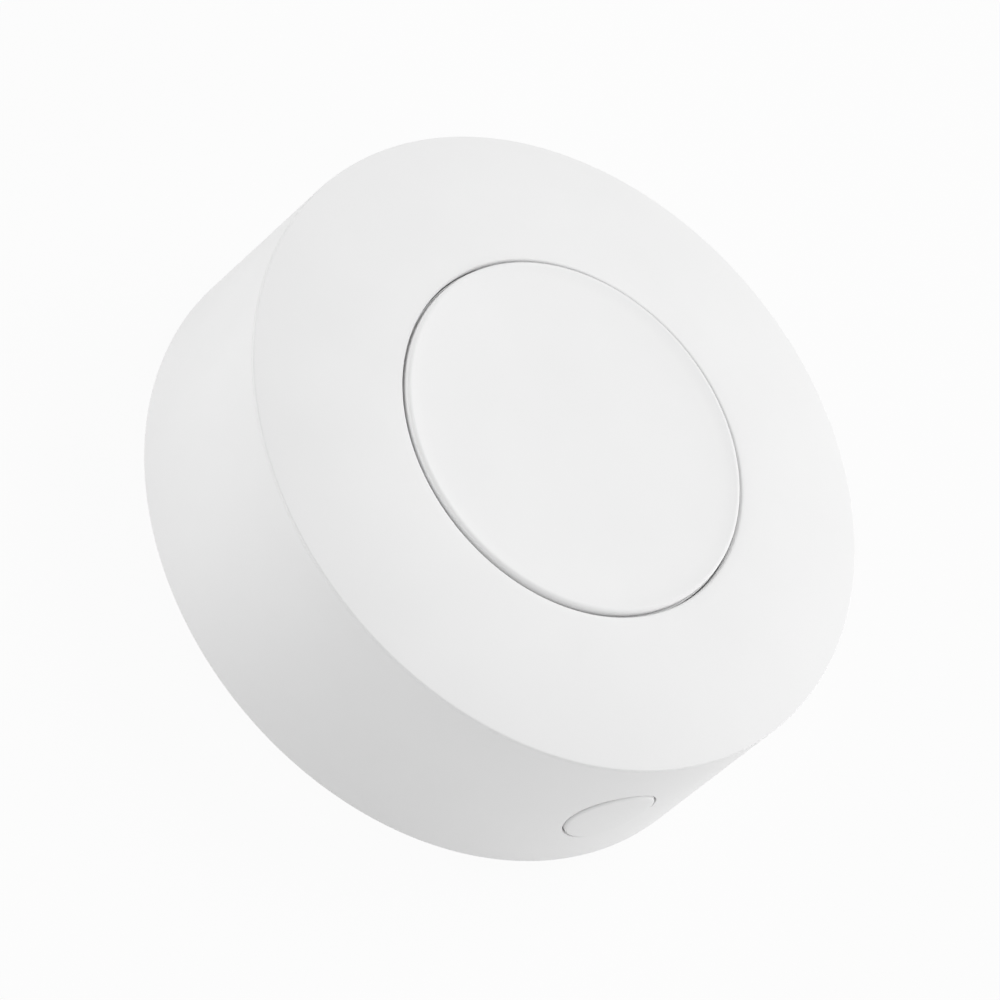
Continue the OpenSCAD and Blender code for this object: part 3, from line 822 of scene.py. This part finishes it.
# Battery cradle: a moulded ring of natural nylon round the coin cell, with four pegs in the board.
# It is open on one side for the contact, and cut away on another so that a thumb can lift the cell.
cradle_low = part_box("battery_cradle")[0]
cradle_in = 10.15 * mm
cradle_out = 10.95 * mm
cradle_edge = 0.15 * mm
peg_r = 0.35 * mm
peg_edge = 0.05 * mm
slot_in = 9 * mm
slot_out = 12 * mm
slot_half = 2.15 * mm
thumb_half = 4.5 * mm
thumb_in = 5 * mm
thumb_out = 15 * mm
thumb_top = cradle_low.z + 1.6 * mm
thumb_edge = 0.3 * mm
nylon_natural = (0.74, 0.74, 0.73)
ring_foot = cradle_low.z + cradle_edge
nylon_ring = spin_outline("nylon_ring", [(cradle_in, board_z), (cradle_in, cradle_low.z + 2 * cradle_edge)]
                          + [(cradle_in + 2 * cradle_edge, cradle_low.z)]
                          + arc(cradle_out - cradle_edge, ring_foot, cradle_edge, -90, 0, 4)
                          + [(cradle_out, board_z)])
for angle in peg_angles:
    peg = rod(peg_r, (peg_circle, 0, board_z - mm), (peg_circle, 0, board_top), peg_edge, 32)
    combine(nylon_ring, swing(peg, angle), "UNION")
contact_slot = block((slot_in, -slot_half, 0), (slot_out, slot_half, board_z + mm))
combine(nylon_ring, contact_slot, "DIFFERENCE")
thumb_cut = block((-thumb_half, thumb_in, 0), (thumb_half, thumb_out, thumb_top), thumb_edge)
combine(nylon_ring, thumb_cut, "DIFFERENCE")
natural_nylon = moulded_plastic("natural_nylon", nylon_natural, 0.48, 0.09 * mm, 1.2, 0.02)
dress(nylon_ring, natural_nylon, "body", "cradle_plastic", "battery_cradle")


# Battery contacts: two strips of phosphor bronze, stamped, bent and soldered to the board.
# One stands against the side of the coin cell, and the other leans on its lid.
edge_low, edge_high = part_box("positive_contact")
leaf_low, leaf_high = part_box("negative_contact")
bronze_t = 0.25 * mm
bronze_edge = 0.05 * mm
edge_bend = 0.45 * mm
leaf_tip = 1 * mm
leaf_kick = 0.2 * mm
bronze = (0.76, 0.58, 0.33)
spring_bronze = rolled_metal("spring_bronze", bronze, 0.34, (14, 1, 14))
bend_x = edge_low.x + edge_bend
bend_z = edge_high.z - edge_bend
edge_contact = strip("edge_contact", [(edge_low.x, edge_low.z), (edge_low.x + bronze_t, edge_low.z)]
                     + arc(bend_x, bend_z, edge_bend - bronze_t, 180, 90, 4)
                     + [(edge_high.x, edge_high.z - bronze_t), (edge_high.x, edge_high.z)]
                     + arc(bend_x, bend_z, edge_bend, 90, 180, 6), edge_low.y, edge_high.y, bronze_edge)
dress(edge_contact, spring_bronze, "body", "spring_bronze", "positive_contact")
leaf_bend = leaf_high.x - leaf_tip
leaf_under = leaf_high.z - bronze_t
kick_z = leaf_low.z + leaf_kick
leaf_contact = strip("leaf_contact", [(leaf_low.x, leaf_high.z), (-leaf_tip, leaf_high.z),
                                      (leaf_bend, leaf_low.z + bronze_t), (leaf_high.x, kick_z + bronze_t),
                                      (leaf_high.x, kick_z), (leaf_bend, leaf_low.z),
                                      (-leaf_tip, leaf_under), (leaf_low.x, leaf_under)],
                     leaf_low.y, leaf_high.y, bronze_edge)
dress(leaf_contact, spring_bronze, "body", "spring_bronze", "negative_contact")


# Body shell: the drafted side wall, moulded in the same white plastic as the front.
# A round hole in it takes the side key, and three lugs inside carry the screws.
rim_z = shell_low.z
bore_r = 18.184 * mm
draft = math.tan(math.radians(1))
rim_round = 0.3 * mm
round_z = rim_z + rim_round
key_hole_r = 2.8 * mm
lug_z = 5.8 * mm
lug_r = 1.85 * mm
web_out = bore_r + 0.8 * mm
hole_in = -17 * mm
hole_out = -21 * mm


def wall_r(z):
    """Outside radius of the drafted wall at a height."""
    return body_r - (part_z - z) * draft


side_wall = spin_outline("side_wall", [(bore_r, rim_z)]
                         + arc(wall_r(round_z) - rim_round, round_z, rim_round, -90, 0, 8)
                         + [(body_r, part_z), (bore_r, part_z)], 256)
for angle in screw_angles:
    lug = rod(lug_r, (screw_circle, 0, lug_z), (screw_circle, 0, board_z))
    combine(side_wall, swing(lug, angle), "UNION")
    web = block((screw_circle, -lug_r, lug_z), (web_out, lug_r, board_z))
    combine(side_wall, swing(web, angle), "UNION")
    clearance = rod(screw_hole_r, (screw_circle, 0, lug_z - mm), (screw_circle, 0, board_z + mm))
    combine(side_wall, swing(clearance, angle), "DIFFERENCE")
key_hole = rod(key_hole_r, (0, hole_in, key_z), (0, hole_out, key_z), sides=128)
combine(side_wall, key_hole, "DIFFERENCE")
dress(side_wall, white_plastic, "body", "casing_plastic", "body_shell")


# Side key: a small round white key that stands just proud of the wall and is curved with it.
# A flange behind the wall keeps it in, and a plunger on its back presses the side switch.
key_r = 2.7 * mm
key_proud = 0.1 * mm
key_round = 0.22 * mm
key_flange_r = 3.2 * mm
flange_out = 18.03 * mm
flange_in = 17.43 * mm
key_start = -22 * mm
key_front = -19 * mm
key_depth = 2.2 * mm
flange_rod = -16 * mm
plunger_r = 1 * mm
plunger_root = -17.6 * mm
plunger_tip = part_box("side_key")[1].y
plunger_edge = 0.1 * mm
inset_rings = 5
bpy.ops.object.select_all(action="DESELECT")
bpy.ops.mesh.primitive_cone_add(vertices=720, radius1=wall_r(rim_z) + key_proud, radius2=body_r + key_proud,
                                depth=part_z - rim_z, location=(0, 0, (part_z + rim_z) / 2))
wall_form = bpy.context.object
bpy.ops.object.select_all(action="DESELECT")
bpy.ops.mesh.primitive_circle_add(vertices=96, radius=key_r, fill_type="NGON",
                                  location=(0, key_start, key_z), rotation=(math.radians(90), 0, 0))
round_key = bpy.context.object
round_key.name = "round_key"
bpy.ops.object.transform_apply(location=True, rotation=True, scale=True)
bpy.ops.object.mode_set(mode="EDIT")
bpy.ops.mesh.select_all(action="SELECT")
for _ in range(inset_rings):
    bpy.ops.mesh.inset(thickness=key_r / (inset_rings + 1))
bpy.ops.object.mode_set(mode="OBJECT")
bpy.ops.object.modifier_add(type="SHRINKWRAP")
round_key.modifiers[-1].wrap_method = "PROJECT"
round_key.modifiers[-1].use_project_y = True
round_key.modifiers[-1].use_positive_direction = True
round_key.modifiers[-1].target = wall_form
bpy.ops.object.modifier_apply(modifier=round_key.modifiers[-1].name)
bpy.data.objects.remove(wall_form)
bpy.ops.object.mode_set(mode="EDIT")
bpy.ops.mesh.select_mode(type="EDGE")
bpy.ops.mesh.select_all(action="SELECT")
bpy.ops.mesh.region_to_loop()
bpy.ops.mesh.extrude_region_move(TRANSFORM_OT_translate={"value": (0, key_depth, 0)})
bpy.ops.mesh.edge_face_add()
bpy.ops.mesh.select_all(action="SELECT")
bpy.ops.mesh.normals_make_consistent(inside=False)
bpy.ops.mesh.select_all(action="DESELECT")
bpy.ops.object.mode_set(mode="OBJECT")
for line in round_key.data.edges:
    ends = [round_key.data.vertices[i].co for i in line.vertices]
    on_rim = [abs(math.hypot(p.x, p.z - key_z) - key_r) < 0.001 * mm for p in ends]
    line.select = all(on_rim) and all(p.y < key_front for p in ends)
bpy.ops.object.mode_set(mode="EDIT")
bpy.ops.mesh.bevel(offset=key_round, segments=6, affect="EDGES")
bpy.ops.object.mode_set(mode="OBJECT")
flange = rod(key_flange_r, (0, flange_rod, key_z), (0, hole_out, key_z), sides=96)
outer = rod(flange_out, (0, 0, 0), (0, 0, part_z), sides=256)
combine(flange, outer, "INTERSECT")
inner = rod(flange_in, (0, 0, 0), (0, 0, part_z), sides=256)
combine(flange, inner, "DIFFERENCE")
combine(round_key, flange, "UNION")
plunger = rod(plunger_r, (0, plunger_tip, key_z), (0, plunger_root, key_z), plunger_edge)
combine(round_key, plunger, "UNION")
dress(round_key, white_plastic, "side_button", "casing_plastic", "side_key")


# Assembly screws: three cross-recessed steel screws with pan heads, rolled and plated.
# They pass through the wall's lugs and the board, and cut their thread in the front cover's bosses.
head_r = 1.4 * mm
head_h = 1.1 * mm
head_round = 0.4 * mm
shank_r = 0.75 * mm
root_r = 0.58 * mm
screw_len = 5.6 * mm
tip_r = 0.4 * mm
neck = 0.15 * mm
pitch = 0.4 * mm
turns = 12
thread_start = 0.1 * mm
recess_half = 0.85 * mm
recess_w = 0.22 * mm
recess_open = -2 * mm
recess_floor = -0.55 * mm
recess_edge = 0.03 * mm
screw_turn = 20
thread = []
for i in range(turns):
    thread += [(root_r, (0.4 + i) * pitch + thread_start), (shank_r, (0.9 + i) * pitch + thread_start)]
screw = spin_outline("screw", [(0, -head_h)]
                     + arc(head_r - head_round, head_round - head_h, head_round, -90, 0, 6)
                     + [(head_r, 0), (shank_r, 0), (shank_r, neck)] + thread
                     + [(tip_r, screw_len), (0, screw_len)], 48)
for turn in (0, 90):
    recess = slab(recess_half, recess_w, recess_open, recess_floor, recess_edge)
    combine(screw, swing(recess, turn), "DIFFERENCE")
coat(screw, bright_steel)
screws = [screw, copied(screw), copied(screw)]
for angle, piece in zip(screw_angles, screws):
    seat(piece, screw_circle, angle, lug_z, angle + screw_turn)
cross_screws = gather("cross_screws", screws)
smooth(cross_screws)
fit(cross_screws, "body", "steel", "assembly_screws")


# Coin cell: a drawn can of nickel-plated steel, a gasket, a lid and the pressed stack between them.
# The can's rim is rolled in over the gasket, and the cell lies with its can towards the back cover.
can_low, can_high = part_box("cell_can")
lid_low, lid_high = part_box("cell_lid")
can_r = can_high.x
can_t = 0.35 * mm
can_round = 0.5 * mm
lid_r = lid_high.x
lid_step = 0.25 * mm
crown_r = 7.5 * mm
crown_foot = 7.9 * mm
steel_round = 0.15 * mm
groove_in = 8.2 * mm
groove_out = 8.7 * mm
groove_side = 0.1 * mm
groove_z = can_low.z + 0.05 * mm
nickel = (0.70, 0.70, 0.71)
powder_grey = (0.22, 0.22, 0.23)
nickel_steel = rolled_metal("nickel_steel", nickel, 0.3, (6, 6, 6))
drawn_can = spin_outline("drawn_can", [(0, can_low.z), (groove_in, can_low.z),
                                       (groove_in + groove_side, groove_z),
                                       (groove_out - groove_side, groove_z), (groove_out, can_low.z)]
                         + arc(can_r - can_round, can_low.z + can_round, can_round, -90, 0, 6)
                         + arc(can_r - steel_round, can_high.z - steel_round, steel_round, 0, 90, 4)
                         + [(can_r - can_t, can_high.z), (can_r - can_t, can_low.z + can_t),
                            (0, can_low.z + can_t)])
dress(drawn_can, nickel_steel, "body", "cell_steel", "cell_can")
step_z = lid_high.z - lid_step
stepped_lid = spin_outline("stepped_lid", [(0, lid_low.z), (lid_r, lid_low.z)]
                           + arc(lid_r - steel_round, step_z - steel_round, steel_round, 0, 90, 4)
                           + [(crown_foot, step_z)]
                           + arc(crown_r, lid_high.z - steel_round, steel_round, 45, 90, 4)
                           + [(0, lid_high.z)])
dress(stepped_lid, nickel_steel, "body", "cell_steel", "cell_lid")
coat(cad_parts["cell_gasket"], black_nylon)
coat(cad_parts["cell_core"], moulded_plastic("pressed_powder", powder_grey, 0.8, 0.15 * mm, 4, 0.2))


# Back cover: an injection-moulded plate that stays on the wall when the button is pulled off.
# A ring of spigot wall with push-fit ribs plugs into the body, and a pry notch is cut in its edge.
base_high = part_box("back_cover")[1]
pad_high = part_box("adhesive_pad")[1]
spigot_top = base_high.z
base_top = rim_z + 1.4 * mm
base_r = 18.06 * mm
spigot_in = base_r - 0.9 * mm
seat_r = pad_high.x + 0.2 * mm
seat_z = pad_high.z
rest_in = 6 * mm
rest_out = 6.9 * mm
rest_top = base_top + 0.27 * mm
rib_in = 17.61 * mm
rib_out = base_high.x
rib_half = 0.4 * mm
rib_foot = rim_z + 0.6 * mm
rib_edge = 0.08 * mm
rib_angles = range(15, 360, 60)
notch_half = 3 * mm
notch_in = base_r - 0.9 * mm
notch_top = rim_z + 0.7 * mm
notch_edge = 0.1 * mm
base_edge = 0.15 * mm
base_white = (0.80, 0.80, 0.795)
base_plate = spin_outline("base_plate", [(0, seat_z), (seat_r, seat_z), (seat_r, rim_z)]
                          + arc(base_r - base_edge, rim_z + base_edge, base_edge, -90, 0, 5)
                          + arc(base_r - base_edge, spigot_top - base_edge, base_edge, 0, 90, 5)
                          + arc(spigot_in + base_edge, spigot_top - base_edge, base_edge, 90, 180, 5)
                          + arc(spigot_in - base_edge, base_top + base_edge, base_edge, 0, -90, 5)
                          + arc(rest_out + base_edge, base_top + base_edge, base_edge, -90, -180, 5)
                          + [(rest_out, rest_top), (rest_in, rest_top), (rest_in, base_top), (0, base_top)])
for angle in rib_angles:
    rib = block((rib_in, -rib_half, rib_foot), (rib_out, rib_half, spigot_top), rib_edge)
    combine(base_plate, swing(rib, angle), "UNION")
pry_notch = block((-notch_half, notch_in, 0), (notch_half, base_r + mm, notch_top), notch_edge)
combine(base_plate, pry_notch, "DIFFERENCE")
base_plastic = moulded_plastic("base_plastic", base_white, matte, shine=matte_shine)
dress(base_plate, base_plastic, "base", "base_plastic", "back_cover")


# Adhesive pad: a disc of closed-cell foam tape, sticky on both faces and die-cut from sheet.
# It is pressed into a shallow seat in the back cover and stands a little proud of the back rim.
pad_r = pad_high.x
pad_top = pad_high.z
pad_edge = 0.12 * mm
pad_cell = 0.22 * mm
foam_grey = (0.30, 0.31, 0.32)
foam_pad = spin_outline("foam_pad", [(0, 0)] + arc(pad_r - pad_edge, pad_edge, pad_edge, -90, 0, 5)
                        + arc(pad_r - pad_edge, pad_top - pad_edge, pad_edge, 0, 90, 5) + [(0, pad_top)])
tape_foam = foam("tape_foam", foam_grey, pad_cell, 0.8)
dress(foam_pad, tape_foam, "base", "pad_foam", "adhesive_pad", 60)


# Floor: a wide plain pale sheet, near white to the camera, which keeps the object's soft shadow.
# It glows softly, so the back of the part is lit, and seen from below it lets the view through.
floor_size = 6
floor_drop = 0.02 * mm
floor_white = (0.60, 0.60, 0.60)
floor_glow = 0.94
sheet_glow = 0.46


def in_view(nodes, link):
    """1 for what is seen, straight or in a shiny or clear surface, and 0 for all other light."""
    rays = nodes.new("ShaderNodeLightPath")
    seen = rays.outputs["Is Camera Ray"]
    for kind in ("Is Glossy Ray", "Is Transmission Ray"):
        either = nodes.new("ShaderNodeMath")
        either.operation = "MAXIMUM"
        link(seen, either.inputs[0])
        link(rays.outputs[kind], either.inputs[1])
        seen = either.outputs["Value"]
    return seen


bpy.ops.object.select_all(action="DESELECT")
bpy.ops.mesh.primitive_plane_add(size=floor_size, location=(0, 0, -floor_drop))
floor = bpy.context.object
floor.name = "floor"
sheet = bpy.data.materials.new("pale_sheet")
sheet.use_nodes = True
sheet.cycles.emission_sampling = "NONE"
nodes = sheet.node_tree.nodes
link = sheet.node_tree.links.new
nodes.remove(nodes["Principled BSDF"])
paper = nodes.new("ShaderNodeBsdfDiffuse")
paper.inputs["Color"].default_value = (*floor_white, 1)
glow = nodes.new("ShaderNodeEmission")
share = nodes.new("ShaderNodeMath")
share.operation = "MULTIPLY_ADD"
share.inputs[1].default_value = floor_glow - sheet_glow
share.inputs[2].default_value = sheet_glow
link(in_view(nodes, link), share.inputs[0])
surface = nodes.new("ShaderNodeMixShader")
link(share.outputs["Value"], surface.inputs["Fac"])
link(paper.outputs["BSDF"], surface.inputs[1])
link(glow.outputs["Emission"], surface.inputs[2])
clear = nodes.new("ShaderNodeBsdfTransparent")
facing = nodes.new("ShaderNodeNewGeometry")
under = nodes.new("ShaderNodeMixShader")
link(facing.outputs["Backfacing"], under.inputs["Fac"])
link(surface.outputs["Shader"], under.inputs[1])
link(clear.outputs["BSDF"], under.inputs[2])
link(under.outputs["Shader"], nodes["Material Output"].inputs["Surface"])
floor.data.materials.append(sheet)


# Studio: a pale surround that is white where it is seen, and four large soft boxes round the part.
# They stand where they give the photograph's shading, and their levels are kept low so that pale faces stay
# short of plain white.
surround = 0.26
lamp_width = 0.5
lamp_distance = 0.8
lamp_aim = Vector((0, 0, 7 * mm))


def outward(turn, height):
    """A direction away from the part, from an azimuth and an elevation in degrees."""
    a, e = math.radians(turn), math.radians(height)
    return Vector((math.sin(a) * math.cos(e), -math.cos(a) * math.cos(e), math.sin(e)))


def soft_lamp(name, turn, height, level):
    """A square soft box that looks at the part."""
    away = outward(turn, height)
    bpy.ops.object.select_all(action="DESELECT")
    bpy.ops.object.light_add(type="AREA", location=lamp_aim + lamp_distance * away)
    lamp = bpy.context.object
    lamp.name = name
    lamp.rotation_mode = "QUATERNION"
    lamp.rotation_quaternion = away.to_track_quat("Z", "Y")
    lamp.data.size = lamp_width
    lamp.data.energy = level


world = bpy.data.worlds.new("studio")
bpy.context.scene.world = world
world.use_nodes = True
nodes = world.node_tree.nodes
link = world.node_tree.links.new
walls = nodes["Background"]
walls.inputs["Color"].default_value = (1, 1, 1, 1)
walls.inputs["Strength"].default_value = surround
backdrop = nodes.new("ShaderNodeBackground")
backdrop.inputs["Color"].default_value = (1, 1, 1, 1)
room = nodes.new("ShaderNodeMixShader")
link(in_view(nodes, link), room.inputs["Fac"])
link(walls.outputs["Background"], room.inputs[1])
link(backdrop.outputs["Background"], room.inputs[2])
link(room.outputs["Shader"], nodes["World Output"].inputs["Surface"])
soft_lamp("far_left_lamp", 225, 25, 1.45)
soft_lamp("left_lamp", 255, 12, 2.35)
soft_lamp("front_lamp", 30, 25, 2.65)
soft_lamp("right_lamp", 105, 48, 3.95)


# Camera: the photograph's viewing angle, with a long lens.
# It is rolled, so that the part leans in the frame as it does in the photograph.
view_turn = -62.94
view_height = 46.90
view_roll = 50.0
view_aim = Vector((-0.305, -0.199, 7.061)) * mm
view_distance = 993.1 * mm
view_lens = 630.1
back = outward(view_turn, view_height)
bpy.ops.object.select_all(action="DESELECT")
bpy.ops.object.camera_add(location=view_aim + view_distance * back)
camera = bpy.context.object
camera.rotation_mode = "QUATERNION"
camera.rotation_quaternion = back.to_track_quat("Z", "Y") @ Quaternion((0, 0, 1), math.radians(view_roll))
camera.data.lens = view_lens
camera.data.clip_start = 0.05
camera.data.clip_end = 20
bpy.context.scene.camera = camera
